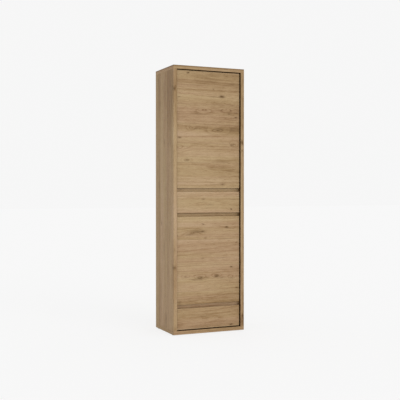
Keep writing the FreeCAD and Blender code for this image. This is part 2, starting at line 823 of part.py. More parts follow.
def floor_glide(side, y, clearance=0):
    """A round glide with the nail that holds it under the bottom panel."""
    x = side * panel_middle
    disc = rod(glide_radius, Vector(x, y, 0), Z_AXIS, glide_height)
    nail = rod(glide_nail_radius + clearance, Vector(x, y, glide_height / 2), Z_AXIS,
               glide_height / 2 + glide_nail_length + clearance)
    return disc.fuse(nail)


glide_places = [(side, y) for side in SIDES for y in (front_y + glide_inset, rear_y - glide_inset)]


def side_panel(side, holes):
    """A side panel that stands between the bottom and the top panel, with its rebate and all its holes."""
    panel = box((side * inner_half, side * half_width), (front_y, rear_y), (floor_z, ceiling_z))
    panel = soften_front(panel, front_y, edge_round)
    rebate = box((side * (inner_half - overrun), side * (inner_half + rebate_width)),
                 (back_face_y, rear_y + overrun), (floor_z - overrun, ceiling_z + overrun))
    cutters = [rebate, *holes, *shelf_holes(side)]
    cutters += [back_nail(*place, fastener_clearance) for place in nail_places()]
    screws = [*frame_screw_places()]
    for front_z in (lower_drawer_z, upper_drawer_z):
        screws += runner_screw_places(side, front_z)
    if side == RIGHT:
        screws += [place for z in all_hinge_z for place in plate_screw_places(z)]
    else:
        screws += [(*place, catch_screw_length) for z in catch_heights for place in catch_screw_places(z)]
    return cut_all(panel, cutters + [screw_hole(*place) for place in screws])


def frame_board(name, holes):
    """The bottom or the top panel, as wide as the cabinet, with a stopped rebate for the back."""
    low_z, joint_z, _ = frame_boards[name]
    panel = box((-half_width, half_width), (front_y, rear_y), (low_z, low_z + board))
    panel = soften_front(panel, front_y, edge_round)
    rebate = box(around(0, 2 * (inner_half + rebate_width)), (back_face_y, rear_y + overrun),
                 around(joint_z, 2 * rebate_width))
    return cut_all(panel, [rebate, *holes])


def fixed_shelf(name, holes):
    """A shelf that ties the two side panels together."""
    low_z = fixed_shelves[name]
    return cut_all(box((-inner_half, inner_half), fixed_shelf_y, (low_z, low_z + shelf_thickness)), holes)


def grip_rail(groove_z, door_edge, holes):
    """The rail that shows at the bottom of a finger groove, relieved where a door's hinge edge swings in."""
    low_z, high_z = groove_z - rail_overlap, groove_z + groove_height + rail_overlap
    rail = box((-inner_half, inner_half), (rail_face_y, rail_rear_y), (low_z, high_z))
    swing = door_swing_radius + rail_relief_clearance
    if door_edge == "upper":
        relief_z = (groove_z + groove_height - rail_relief_clearance, high_z + overrun)
    else:
        relief_z = (low_z - overrun, groove_z + rail_relief_clearance)
    relief = box((pivot_x - swing, half_width), (rail_face_y - overrun, pivot_y + swing), relief_z)
    return cut_all(rail, [relief, *holes])


def bumpers():
    """Soft dots on the rails that the fronts close against."""
    thickness = rail_gap - bumper_clearance
    edges_z = [z + offset for z, _ in grip_rails.values()
               for offset in (-rail_overlap / 2, groove_height + rail_overlap / 2)]
    return [rod(bumper_radius, Vector(side * (inner_half - bumper_inset), rail_face_y, z), -Y_AXIS, thickness)
            for z in edges_z for side in SIDES]


def trim_strips():
    """Four thin dark strips that line the inside of the frame round the fronts."""
    y = (front_y + trim_setback, front_y + trim_setback + trim_depth)
    uprights = [box((side * (inner_half - trim_thickness), side * inner_half), y, (floor_z, ceiling_z))
                for side in SIDES]
    half = inner_half - trim_thickness
    flats = [box((-half, half), y, (floor_z, floor_z + trim_thickness)),
             box((-half, half), y, (ceiling_z - trim_thickness, ceiling_z))]
    return uprights + flats


def wall_holes():
    """The two through holes for the wall screws."""
    z = sum(wall_rail_z) / 2
    length = rear_y - wall_rail_y[0] + 2 * overrun
    return [rod(wall_hole_radius, Vector(x, wall_rail_y[0] - overrun, z), Y_AXIS, length)
            for x in around(0, wall_hole_spacing)]


def back_sheet(low_z, high_z, cutters):
    """One thin back sheet in the rebate."""
    half = inner_half + rebate_width - back_clearance
    sheet = box((-half, half), (back_face_y, rear_y - strip_wall), (low_z, high_z))
    return cut_all(sheet, cutters)


def back_joint_strip():
    """The H-shaped strip that holds the edges of both back sheets."""
    half = inner_half - back_clearance
    z = around(back_joint_z, strip_wall + 2 * strip_lap)
    outer_y = (shelf_rear_y, shelf_rear_y + strip_wall)
    rear = (rear_y - strip_wall + strip_gap / 2, rear_y)
    web = box((-half, half), (outer_y[0], rear[1]), around(back_joint_z, strip_wall))
    return fuse_all([box((-half, half), outer_y, z), box((-half, half), rear, z), web])


def loose_shelf(low_z):
    """A shelf that lies on four pins."""
    half = inner_half - loose_shelf_side_gap
    shelf = box((-half, half), loose_shelf_y, (low_z, low_z + shelf_thickness))
    return soften_front(shelf, loose_shelf_y[0], edge_round)


def carcass():
    """All the pieces that stay still."""
    dowels, cams, bolts, holes = board_fittings()
    holes["bottom_panel"] += [floor_glide(*place, fastener_clearance) for place in glide_places]
    holes["bottom_panel"] += [screw_hole(*place) for place in frame_screw_places()]
    for side in SIDES:
        name = SIDE_NAMES[side] + "_side_panel"
        parts[name] = side_panel(side, holes[name])
    for name in frame_boards:
        parts[name] = frame_board(name, holes[name])
    for name in fixed_shelves:
        parts[name] = fixed_shelf(name, holes[name])
    for name, (groove_z, door_edge) in grip_rails.items():
        parts[name] = grip_rail(groove_z, door_edge, holes[name])
    rail = box((-inner_half, inner_half), wall_rail_y, wall_rail_z)
    parts["wall_fixing_rail"] = cut_all(rail, [*wall_holes(), *holes["wall_fixing_rail"]])
    nails = nail_places()
    cutters = [back_nail(*place, fastener_clearance) for place in nails] + wall_holes()
    sheet_reach = rebate_width - back_clearance
    joint_edge = strip_wall / 2 + strip_gap
    parts["lower_back_panel"] = back_sheet(floor_z - sheet_reach, back_joint_z - joint_edge, cutters)
    parts["upper_back_panel"] = back_sheet(back_joint_z + joint_edge, ceiling_z + sheet_reach, cutters)
    parts["back_joint_strip"] = back_joint_strip()
    parts["back_nails"] = group([back_nail(*place) for place in nails])
    parts["shadow_gap_trim"] = group(trim_strips())
    parts["bumper_pads"] = group(bumpers())
    parts["wood_dowels"] = group(dowels)
    parts["cam_locks"] = group(cams)
    parts["cam_bolts"] = group(bolts)
    parts["floor_glides"] = group([floor_glide(*place) for place in glide_places])
    for name, low_z in loose_shelves.items():
        parts[name] = loose_shelf(low_z)
    parts["shelf_pins"] = group([shelf_pin(*place) for place in shelf_pin_places()])


def fixed_hardware():
    """Hinge arms and plates, catches, runner channels, and the screws that hold them to the carcass."""
    parts["hinge_plates"] = group([hinge_plate(z) for z in all_hinge_z])
    parts["hinge_arms"] = group([hinge_arm(z) for z in all_hinge_z])
    parts["magnet_catches"] = group([magnet_catch(z) for z in catch_heights])
    runner_places = [(side, front_z) for front_z in (lower_drawer_z, upper_drawer_z) for side in SIDES]
    parts["cabinet_runners"] = group([cabinet_runner(*place) for place in runner_places])
    screws = [screw(*place) for z in all_hinge_z for place in (*plate_screw_places(z), arm_screw_place(z))]
    screws += [screw(*place) for runner in runner_places for place in runner_screw_places(*runner)]
    screws += [screw(*place, catch_screw_length) for z in catch_heights for place in catch_screw_places(z)]
    screws += [screw(*place) for place in frame_screw_places()]
    parts["hardware_screws"] = group(screws)


carcass()
fixed_hardware()
door("lower", lower_door_z, lower_door_height, lower_hinge_z, catch_heights[0], bevel_top=True)
door("upper", upper_door_z, upper_door_height, upper_hinge_z, catch_heights[1], bevel_bottom=True)
drawer("lower", lower_drawer_z)
drawer("upper", upper_drawer_z)

os.makedirs("parts", exist_ok=True)
for node, shape in parts.items():
    shape.exportStep("parts/" + node + ".step")
print(len(parts), "nodes, hinge pivot at", round(pivot_x, 3), round(pivot_y, 3))
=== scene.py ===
"""Looks of a tall narrow oak cabinet: the finish of each board and fitting, the studio and the camera."""
import json
import math
from typing import NamedTuple

import bpy
from mathutils import Euler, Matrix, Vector


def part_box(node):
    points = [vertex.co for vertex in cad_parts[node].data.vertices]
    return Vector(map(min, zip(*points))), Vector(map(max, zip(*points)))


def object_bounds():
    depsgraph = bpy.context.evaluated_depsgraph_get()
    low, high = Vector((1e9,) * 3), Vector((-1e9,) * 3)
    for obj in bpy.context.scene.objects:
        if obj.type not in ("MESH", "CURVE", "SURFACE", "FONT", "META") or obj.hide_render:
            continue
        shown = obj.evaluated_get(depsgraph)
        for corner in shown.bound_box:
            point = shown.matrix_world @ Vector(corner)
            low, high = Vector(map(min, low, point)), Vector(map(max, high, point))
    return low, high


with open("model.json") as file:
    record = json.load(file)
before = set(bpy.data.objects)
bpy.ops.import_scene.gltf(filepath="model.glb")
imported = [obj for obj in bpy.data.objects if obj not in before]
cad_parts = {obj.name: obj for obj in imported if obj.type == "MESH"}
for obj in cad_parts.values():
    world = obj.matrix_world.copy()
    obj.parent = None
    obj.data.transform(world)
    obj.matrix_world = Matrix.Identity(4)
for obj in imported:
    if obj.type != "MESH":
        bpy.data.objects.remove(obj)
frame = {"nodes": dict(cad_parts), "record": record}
cad_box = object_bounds()

X, Y, Z = range(3)
WHITE = (1, 1, 1, 1)

# The middle of a random value, of a ramp of colours and of a stave
MIDDLE = 0.5

# Camera, fitted to the photograph, with lengths in metres and pixels of its 400 x 400 picture
PHOTO_PIXELS = 400
FOCAL_PIXELS = 771
SENSOR_MM = 36
CAMERA_PLACE = Vector((-1.9068, -4.3747, 0.8661))
CAMERA_TURN = math.radians(23.588)
CAMERA_TILT = math.radians(0.79)
CAMERA_ANGLES = Euler((math.pi / 2 - CAMERA_TILT, 0, -CAMERA_TURN))

# Light and floor, with the floor's half width in metres
BACKGROUND = 0.926
SKY_STRENGTH = 0.70
KEY_STRENGTH = 0.95
KEY_SPREAD = math.radians(40)
KEY_FROM = Vector((0.30, -0.91, 0.28))
FLOOR_COLOUR = (0.92, 0.92, 0.92, 1)
FLOOR_ROUGHNESS = 0.9
FLOOR_GLOW = 0.99
FLOOR_GLOW_SHARE = 0.8
FLOOR_HALF = 30

# Oak colours, from late wood to pale early wood, and what is darker still
OAK_TONES = (
    (0.00, (0.160, 0.086, 0.036)),
    (0.30, (0.310, 0.192, 0.091)),
    (0.50, (0.410, 0.274, 0.147)),
    (0.70, (0.475, 0.334, 0.190)),
    (1.00, (0.550, 0.406, 0.252)),
)
GOLDEN_TINT = (0.994, 1.006, 0.955)
ROSY_TINT = (1.016, 0.988, 1.030)
KNOT_COLOUR = (0.092, 0.043, 0.008, 1)
PORE_COLOUR = (0.150, 0.085, 0.038, 1)
EDGE_COLOUR = (0.200, 0.122, 0.058, 1)


class Layer(NamedTuple):
    """A layer of grain: its changes per metre along and across the wood, its seed and its fine detail."""
    along: float
    across: float
    seed: float
    detail: float
    roughness: float = 0.5


# Layers of the oak's grain
WARP = Layer(along=1.6, across=6.0, seed=0.0, detail=1.0)
FIGURE = Layer(along=0.3, across=8.0, seed=5.1, detail=1.0, roughness=0.4)
BROAD = Layer(along=0.4, across=13.0, seed=1.7, detail=1.5)
HUE = Layer(along=1.1, across=16.0, seed=8.8, detail=2.0)
STREAK = Layer(along=2.2, across=80.0, seed=2.3, detail=3.0, roughness=0.6)
DASH = Layer(along=20.0, across=150.0, seed=6.2, detail=2.0)
FLECK = Layer(along=34.0, across=200.0, seed=4.1, detail=1.0)
FIBRE = Layer(along=24.0, across=650.0, seed=0.0, detail=2.0)
PORE = Layer(along=60.0, across=1500.0, seed=3.9, detail=1.0)

# The tone of the oak on the scale of OAK_TONES, and how far each layer moves it
MIDDLE_TONE = 0.55
BROAD_TONE = 0.60
STREAK_TONE = 0.56
DASH_TONE = 0.42
FIBRE_TONE = 0.35
STAVE_TONE = 0.12
FLECK_TONE = -0.17
RING_TONE = -0.12
EYE_RING_TONE = -1.3

# Painted shade: the fronts grow darker to the right, as a change of tone per metre
FRONT_SHADE_DRIFT = -0.32

# How far the grain and the outlines of marks bend and fray, in metres
WARP_REACH = 0.006
MARK_FRAY_ALONG = 0.030
MARK_FRAY_ACROSS = 0.006
MARK_BEND = 0.012
EYE_FRAY = 0.030
EYE_BEND = 0.006

# Seams, worn edges, the painted shade along the rim of the cabinet's top and the relief of the grain, in
# metres
SEAM_WIDTH = 0.0015
WORN_RADIUS = 0.002
TOP_RIM = 0.010
FIBRE_RELIEF = 0.00010
PORE_RELIEF = -0.00006
RING_RELIEF = -0.00004

# Values where a trait of the oak begins, and where it is full
RING_START = (0.45, 0.86)
RING_END = (0.90, 1.0)
FLECK_RISE = (0.14, 0.24)
PORE_RISE = (0.08, 0.20)
HUE_RISE = (-0.16, 0.16)
END_TURN = (0.5, 0.7)
FRONT_TURN = (0.4, 0.8)

# Shares of darker colours in the oak, and what breaks a knot up
PORE_SHARE = 0.45
SEAM_SHARE = 0.35
WORN_SHARE = 0.06
KNOT_MOST = 0.9
KNOT_CORE = 0.8
KNOT_DASH = 2.0
KNOT_FIBRE = 0.8

# The sheen of the oak, and how its layers roughen it
OAK_SPECULAR = 0.14
OAK_ROUGHNESS = 0.52
FIBRE_ROUGHNESS = 0.30
RING_ROUGHNESS = -0.06
PORE_ROUGHNESS = 0.12

# Staves and year rings
STAVE_WIDTH = 0.12
STAVE_SEED_STEP = 7.3
RINGS_PER_UNIT = 15.0


# Shader nodes

class Field:
    """A number that varies over a surface: arithmetic on fields adds the nodes that work it out."""

    def __init__(self, recipe, socket):
        self.recipe = recipe
        self.socket = socket

    def __add__(self, other):
        return self.recipe.math("ADD", self, other)

    def __sub__(self, other):
        return self.recipe.math("SUBTRACT", self, other)

    def __rsub__(self, other):
        return self.recipe.math("SUBTRACT", other, self)

    def __mul__(self, other):
        return self.recipe.math("MULTIPLY", self, other)

    __radd__ = __add__
    __rmul__ = __mul__


class Recipe:
    """The nodes of one material, with a short call for each kind of node that is used."""

    # The turn of a rounded surface, as 1 less its cosine, that counts as an edge in full
    full_edge = 0.2

    def __init__(self, name, **constants):
        """A plain surface, with constants by the names of its sockets, written with _ for a space."""
        self.material = bpy.data.materials.new(name)
        self.material.use_nodes = True
        self.tree = self.material.node_tree
        self.surface = self.tree.nodes["Principled BSDF"]
        self.coordinates = self.node("TexCoord")
        for socket, value in constants.items():
            self.surface.inputs[socket.replace("_", " ")].default_value = value

    def feed(self, socket, value):
        """Links a field or a node's output to a socket, or sets a constant there."""
        if isinstance(value, Field):
            value = value.socket
        if isinstance(value, bpy.types.NodeSocket):
            self.tree.links.new(value, socket)
        else:
            socket.default_value = value

    def node(self, kind, inputs=None, **settings):
        """A new node, with what its sockets take and how it is set."""
        made = self.tree.nodes.new("ShaderNode" + kind)
        for key, value in settings.items():
            setattr(made, key, value)
        for key, value in (inputs or {}).items():
            self.feed(made.inputs[key], value)
        return made

    def split(self, vector):
        """The three fields of a vector."""
        made = self.node("SeparateXYZ", {0: vector})
        return [Field(self, socket) for socket in made.outputs]

    def place(self):
        """The place on the piece as it stands at rest, in metres."""
        return self.split(self.coordinates.outputs["Object"])

    def facing(self):
        """Which way the surface faces, in the piece's own axes."""
        return self.split(self.coordinates.outputs["Normal"])

    def point(self, x, y, z=0.0):
        """A vector of three fields."""
        return self.node("CombineXYZ", {0: x, 1: y, 2: z}).outputs[0]

    def math(self, operation, *values):
        """The field that an operation on fields and numbers gives."""
        made = self.node("Math", dict(enumerate(values)), operation=operation)
        return Field(self, made.outputs[0])

    def noise(self, point, detail=2.0, roughness=0.5):
        """Soft random values about zero, at a point whose axes already have their scale."""
        settings = {"Vector": point, "Scale": 1.0, "Detail": detail, "Roughness": roughness}
        made = self.node("TexNoise", settings)
        return Field(self, made.outputs[0]) - MIDDLE

    def grain(self, layer, along, across, seed):
        """A layer of grain at a place along and across the wood."""
        point = self.point(along * layer.along, across * layer.across, seed + layer.seed)
        return self.noise(point, layer.detail, layer.roughness)

    def speckle(self, x, y, z, detail):
        """Random values over the piece, with so many changes per metre along each axis."""
        place = self.place()
        return self.noise(self.point(place[X] * x, place[Y] * y, place[Z] * z), detail)

    def cells(self, value):
        """A random number from 0 to 1 for each whole number."""
        made = self.node("TexWhiteNoise", {"W": value}, noise_dimensions="1D")
        return Field(self, made.outputs["Value"])

    def rise(self, value, low, high):
        """0 below low, 1 above high, and a smooth rise between them."""
        limits = {"Value": value, "From Min": low, "From Max": high}
        made = self.node("MapRange", limits, interpolation_type="SMOOTHSTEP")
        return Field(self, made.outputs["Result"])

    def ramp(self, value, stops):
        """A colour read from a field by (value, colour) stops."""
        made = self.node("ValToRGB", {0: value})
        elements = made.color_ramp.elements
        elements.remove(elements[1])
        for index, (place, colour) in enumerate(stops):
            element = elements.new(place) if index else elements[0]
            element.position = place
            element.color = (*colour, 1)
        return made.outputs["Color"]

    def mix(self, share, first, second):
        """The first colour, with a share of the second over it."""
        made = self.node("Mix", {0: share, 6: first, 7: second}, data_type="RGBA")
        return made.outputs[2]

    def edges(self, radius):
        """1 along the edges of the piece, within about a radius, and 0 on its flats."""
        rounded = self.node("Bevel", {"Radius": radius}, samples=4)
        flat = self.node("NewGeometry")
        normals = {0: rounded.outputs[0], 1: flat.outputs["Normal"]}
        turned = self.node("VectorMath", normals, operation="DOT_PRODUCT")
        return self.rise(1 - Field(self, turned.outputs["Value"]), 0.0, self.full_edge)

    def relief(self, height):
        """Bump from a field of heights in metres."""
        made = self.node("Bump", {"Height": height, "Distance": 1.0, "Strength": 1.0})
        self.feed(self.surface.inputs["Normal"], made.outputs["Normal"])

    def finish(self, colour, roughness):
        """The material, with its colour and roughness in place."""
        self.feed(self.surface.inputs["Base Color"], colour)
        self.feed(self.surface.inputs["Roughness"], roughness)
        return self.material


# Places that the photograph shows

def seen_on(pixel, axis, level):
    """The point where the line of sight through a pixel meets the plane at a level of one axis."""
    middle = PHOTO_PIXELS / 2
    ray = CAMERA_ANGLES.to_matrix() @ Vector((pixel[0] - middle, middle - pixel[1], -FOCAL_PIXELS))
    return CAMERA_PLACE + ray * ((level - CAMERA_PLACE[axis]) / ray[axis])


def along_and_across(point, along):
    """A place along the grain and across it, where the sum of the other two axes goes round corners."""
    return point[along], sum(point[axis] for axis in (X, Y, Z) if axis != along)


# Oak

def spots(wood, point, marks, shape="QUADRATIC_SPHERE"):
    """Soft oval spots on a board, added up: each mark is (place, half length, half width, strength)."""
    total = 0.0
    for (along, across), length, width, strength in marks:
        oval = {"Vector": point, "Location": (along, across, 0), "Scale": (length, width, 1)}
        local = wood.node("Mapping", oval, vector_type="TEXTURE")
        spot = wood.node("TexGradient", {0: local.outputs[0]}, gradient_type=shape)
        total = Field(wood, spot.outputs["Fac"]) * strength + total
    return total


def tinted(tones, tint):
    """The same ramp of tones, with each colour times a tint."""
    return [(place, [share * part for share, part in zip(colour, tint)]) for place, colour in tones]


def grain_place(wood, along, end_along):
    """The place along the grain and across it: an end is edged with a strip whose grain runs along it."""
    place = wood.place()
    run, cross = along_and_across(place, along)
    end = wood.rise(wood.math("ABSOLUTE", wood.facing()[along]), *END_TURN)
    end_across = X + Y + Z - along - end_along
    return run + (place[end_along] - run) * end, cross + (place[end_across] - cross) * end


def year_rings(wood, figure, eye):
    """Lines of late wood, which darken slowly, end sharply and go round the eyes."""
    ring_place = wood.math("FRACT", (figure + eye) * RINGS_PER_UNIT)
    return wood.rise(ring_place, *RING_START) - wood.rise(ring_place, *RING_END)


def board_shade(wood, along, drift, edge_tone, top_tone):
    """Painted shades along the board and at the rim of the cabinet's top, and a change of tone at its front
    edge.
    """
    place = wood.place()
    # Painted shade: a slow change of tone along the board
    shade = place[along] * drift
    if edge_tone:
        shade = shade + wood.rise(wood.facing()[Y] * -1.0, *FRONT_TURN) * edge_tone
    # Painted shade: a darker rim along the top of the cabinet
    if top_tone:
        shade = shade + wood.rise(place[Z], cad_box[1].z - TOP_RIM, cad_box[1].z) * top_tone
    return shade


def oak_hue(wood, light, hue):
    """The colour of oak at a tone, between a golden and a rosy hue."""
    golden = wood.ramp(light, tinted(OAK_TONES, GOLDEN_TINT))
    rosy = wood.ramp(light, tinted(OAK_TONES, ROSY_TINT))
    return wood.mix(wood.rise(hue, *HUE_RISE), golden, rosy)


def oak(name, along, seed, end_along=Y, tone=0.0, drift=0.0, edge_tone=0.0, top_tone=0.0, contrast=1.0,
        stave_width=STAVE_WIDTH, stave_edge=0.0, knots=(), eyes=(), shades=()):
    """Oiled oak of glued staves, with figure, streaks, fibres, pores and knots along one axis.

    A higher tone is paler: tone all over, drift per metre along the grain as a painted shade, edge_tone on
    the front edge and top_tone as a painted shade at the rim of the top. Contrast is the strength of the
    grain.
    """
    wood = Recipe(name, Specular_IOR_Level=OAK_SPECULAR)
    run, cross = grain_place(wood, along, end_along)

    # Each stave is another piece of wood, with its own figure and tone
    staves = (cross - stave_edge) * (1 / stave_width)
    stave = wood.math("FLOOR", staves)
    stave_tone = wood.cells(stave + seed) - MIDDLE
    from_seam = wood.math("PINGPONG", staves, MIDDLE) * stave_width
    own_seed = stave * STAVE_SEED_STEP + seed

    # The grain lies in layers, bent a little across the board
    bent = cross + wood.grain(WARP, run, cross, own_seed) * WARP_REACH
    broad = wood.grain(BROAD, run, bent, own_seed)
    streak = wood.grain(STREAK, run, bent, own_seed)
    dash = wood.grain(DASH, run, bent, own_seed)
    fibre = wood.grain(FIBRE, run, bent, own_seed)
    fleck = wood.rise(wood.grain(FLECK, run, bent, own_seed), *FLECK_RISE)
    pore = wood.rise(wood.grain(PORE, run, bent, own_seed), *PORE_RISE)

    # Knots, eyes and shades have frayed outlines
    frayed = wood.point(run + dash * MARK_FRAY_ALONG, cross + streak * MARK_BEND + dash * MARK_FRAY_ACROSS)
    eye = spots(wood, wood.point(run + broad * EYE_FRAY, cross + streak * EYE_BEND), eyes)
    ring = year_rings(wood, wood.grain(FIGURE, run, bent, own_seed), eye)

    change = (broad * BROAD_TONE + streak * STREAK_TONE + dash * DASH_TONE + fibre * FIBRE_TONE
              + stave_tone * STAVE_TONE + ring * (eye * EYE_RING_TONE + RING_TONE) + fleck * FLECK_TONE)
    light = change * contrast + spots(wood, frayed, shades, "SPHERICAL") + (MIDDLE_TONE + tone)
    light = light + board_shade(wood, along, drift, edge_tone, top_tone)

    # Pores, seams, worn edges and knots lie over the colour of the tone
    colour = oak_hue(wood, light, wood.grain(HUE, run, cross, own_seed))
    colour = wood.mix(pore * PORE_SHARE, colour, PORE_COLOUR)
    seam = 1 - wood.rise(from_seam, 0.0, SEAM_WIDTH)
    colour = wood.mix(seam * SEAM_SHARE, colour, PORE_COLOUR)
    colour = wood.mix(wood.edges(WORN_RADIUS) * WORN_SHARE, colour, EDGE_COLOUR)
    if knots:
        core = spots(wood, frayed, knots) * (KNOT_CORE + dash * KNOT_DASH + fibre * KNOT_FIBRE)
        colour = wood.mix(wood.math("MINIMUM", core, KNOT_MOST), colour, KNOT_COLOUR)
    wood.relief(fibre * FIBRE_RELIEF + pore * PORE_RELIEF + ring * RING_RELIEF)
    roughness = OAK_ROUGHNESS + fibre * FIBRE_ROUGHNESS + ring * RING_ROUGHNESS + pore * PORE_ROUGHNESS
    return wood.finish(colour, roughness)


# Other finishes, with the depth of their relief and, for most, the width of their worn edges, in metres

def fibreboard(name, shown, raw, roughness=0.55, fluff_depth=0.00025):
    """Thin fibreboard: printed on the side that faces the cupboard, raw and fluffy at the back."""
    sheet = Recipe(name, Specular_IOR_Level=0.25)
    x, y, z = sheet.place()
    fluff = sheet.noise(sheet.point(x * 400.0, z * 400.0, y * 400.0), detail=3.0)
    cloud = sheet.noise(sheet.point(x * 14.0, z * 14.0), detail=3.0)
    streak = sheet.noise(sheet.point(x * 5.0, z * 80.0, 2.0), detail=3.0)
    print_colour = sheet.ramp(MIDDLE + streak * 0.7 + cloud * 0.3, shown)
    raw_colour = sheet.ramp(MIDDLE + fluff * 0.9 + cloud * 0.5, raw)
    behind = sheet.rise(sheet.facing()[Y], low=0.2, high=0.6)
    sheet.relief(fluff * behind * fluff_depth)
    colour = sheet.mix(behind, print_colour, raw_colour)
    return sheet.finish(colour, roughness + behind * 0.25 + fluff * 0.2)


def moulded(name, dark, pale, roughness, grain_depth=0.00003, edge_width=0.0006, **constants):
    """Moulded plastic: a fine spark-eroded grain, faint flow marks and rubbed edges."""
    plastic = Recipe(name, **constants)
    grain = plastic.speckle(x=2200.0, y=2200.0, z=2200.0, detail=1.0)
    flow = plastic.speckle(x=60.0, y=60.0, z=60.0, detail=2.0)
    rubbed = plastic.edges(edge_width)
    tone = MIDDLE + flow * 0.9 + grain * 0.3 + rubbed * 0.15
    colour = plastic.ramp(tone, ((0.2, dark), (0.8, pale)))
    plastic.relief(grain * grain_depth)
    return plastic.finish(colour, roughness + grain * 0.2 + flow * 0.15 - rubbed * 0.08)


def plated(name, dull, bright, roughness, line_depth=0.00001, edge_width=0.0005):
    """Plated steel: fine draw lines, cloudy plating and edges rubbed bright."""
    steel = Recipe(name, Metallic=1.0)
    drawn = steel.speckle(x=1800.0, y=90.0, z=1800.0, detail=2.0)
    cloud = steel.speckle(x=120.0, y=120.0, z=120.0, detail=3.0)
    rubbed = steel.edges(edge_width)
    tone = MIDDLE + cloud * 1.2 + drawn * 0.3 + rubbed * 0.3
    colour = steel.ramp(tone, ((0.15, dull), (0.85, bright)))
    steel.relief(drawn * line_depth)
    return steel.finish(colour, roughness + cloud * 0.25 + drawn * 0.2 - rubbed * 0.1)


def enamelled(name, dark, pale, bare, roughness=0.34, peel_depth=0.00002, edge_width=0.0008):
    """Baked enamel on rolled steel: orange peel, faint scuffs along the travel and chipped edges."""
    paint = Recipe(name)
    peel = paint.speckle(x=900.0, y=900.0, z=900.0, detail=1.0)
    scuff = paint.speckle(x=700.0, y=9.0, z=700.0, detail=3.0)
    flakes = paint.rise(paint.speckle(x=260.0, y=260.0, z=260.0, detail=2.0), low=-0.02, high=0.06)
    chip = paint.edges(edge_width) * flakes
    tone = MIDDLE + scuff * 0.8 + peel * 0.2
    colour = paint.ramp(tone, ((0.2, dark), (0.8, pale)))
    colour = paint.mix(chip * 0.7, colour, bare)
    paint.relief(peel * peel_depth)
    return paint.finish(colour, roughness + scuff * 0.25 + chip * 0.15)


def foil(name, dark, pale, roughness=0.52, weave_depth=0.00005, edge_width=0.0012):
    """Printed foil on board, pressed with a fine linen weave."""
    paper = Recipe(name, Specular_IOR_Level=0.35)
    x, y, z = paper.place()
    level = x + y
    warp = paper.noise(paper.point(level * 1400.0, z * 60.0), detail=1.0)
    weft = paper.noise(paper.point(level * 60.0, z * 1400.0, 3.0), detail=1.0)
    weave = warp + weft
    cloud = paper.speckle(x=8.0, y=8.0, z=8.0, detail=2.0)
    tone = MIDDLE + weave * 0.55 + cloud * 0.3 + paper.edges(edge_width) * 0.2
    colour = paper.ramp(tone, ((0.15, dark), (0.85, pale)))
    paper.relief(weave * weave_depth)
    return paper.finish(colour, roughness + weave * 0.25)


def beech(name, dark, pale, roughness=0.62, fibre_depth=0.00006):
    """Raw beech: even pale wood with short dark ray flecks."""
    wood = Recipe(name, Specular_IOR_Level=0.25)
    fibre = wood.speckle(x=60.0, y=900.0, z=900.0, detail=2.0)
    fleck = wood.rise(wood.speckle(x=220.0, y=1500.0, z=1500.0, detail=1.0), low=0.1, high=0.2)
    tone = MIDDLE + fibre * 0.9 - fleck * 0.3
    colour = wood.ramp(tone, ((0.1, dark), (0.9, pale)))
    wood.relief(fibre * fibre_depth)
    return wood.finish(colour, roughness + fibre * 0.2)


# Marks seen on each board: (pixel, half length and half width in metres, strength), and pixels on seams

UPPER_DOOR_SEAM = (200, 85)
UPPER_DOOR_KNOTS = (
    ((188.5, 72.3), 0.020, 0.010, 1.4),
    ((232, 85), 0.075, 0.006, 0.6),
    ((198, 85), 0.110, 0.004, 0.4),
    ((213.7, 89.2), 0.014, 0.008, 0.9),
    ((222, 96.7), 0.036, 0.014, 1.7),
    ((213, 96.7), 0.060, 0.008, 0.6),
    ((179.5, 96.8), 0.022, 0.007, 0.7),
    ((198, 113.8), 0.085, 0.009, 0.6),
    ((229.5, 114.2), 0.024, 0.010, 0.7),
    ((236, 117.5), 0.020, 0.010, 1.4),
    ((189.5, 126), 0.022, 0.009, 0.5),
    ((196, 128.6), 0.060, 0.008, 0.6),
    ((218.5, 130.4), 0.044, 0.014, 0.65),
    ((230, 130.8), 0.080, 0.010, 0.3),
    ((180, 137.3), 0.024, 0.011, 0.95),
    ((182, 146.2), 0.050, 0.005, 0.6),
    ((232.3, 145), 0.024, 0.018, 0.7),
    ((187, 160), 0.026, 0.015, 0.9),
    ((222, 161.5), 0.110, 0.012, 0.4),
    ((229.5, 171.2), 0.032, 0.008, 0.5),
    ((222, 184.2), 0.030, 0.012, 1.4),
    ((214, 184.4), 0.060, 0.006, 0.5),
)
UPPER_DOOR_EYES = (
    ((204, 109.5), 0.110, 0.042, 0.15),
    ((226, 109.5), 0.105, 0.044, 0.15),
    ((177, 147.5), 0.130, 0.045, 0.20),
    ((234, 145.5), 0.055, 0.032, 0.16),
    ((217, 130.6), 0.120, 0.034, 0.15),
    ((187, 160), 0.060, 0.034, 0.16),
    ((190, 128), 0.050, 0.025, 0.13),
)
UPPER_DOOR_SHADES = (
    # The broad dark mark over the top of the door is partly a darker stave, partly a painted shadow under
    # the top's overhang
    ((207, 83), 0.450, 0.110, -0.24),
    ((212, 87), 0.300, 0.020, 0.14),
    ((202, 108.2), 0.060, 0.012, 0.10),
    ((224, 108.5), 0.070, 0.014, 0.10),
    ((228, 119), 0.110, 0.020, -0.12),
    ((207, 123.5), 0.400, 0.025, 0.14),
    ((224, 130.5), 0.170, 0.022, -0.16),
    ((190, 135), 0.160, 0.040, 0.08),
    ((220, 142), 0.220, 0.035, 0.14),
    ((202, 155), 0.280, 0.032, 0.12),
    ((228, 160.5), 0.140, 0.016, -0.10),
    ((224, 168), 0.180, 0.040, -0.08),
    ((202, 179), 0.260, 0.045, 0.16),
)
UPPER_DRAWER_SEAM = (200, 213)
UPPER_DRAWER_KNOTS = (
    ((203.5, 199.2), 0.026, 0.008, 0.7),
    ((233, 199.6), 0.050, 0.007, 0.5),
    ((211, 204.6), 0.040, 0.007, 0.4),
    ((231.2, 209.2), 0.016, 0.010, 1.6),
)
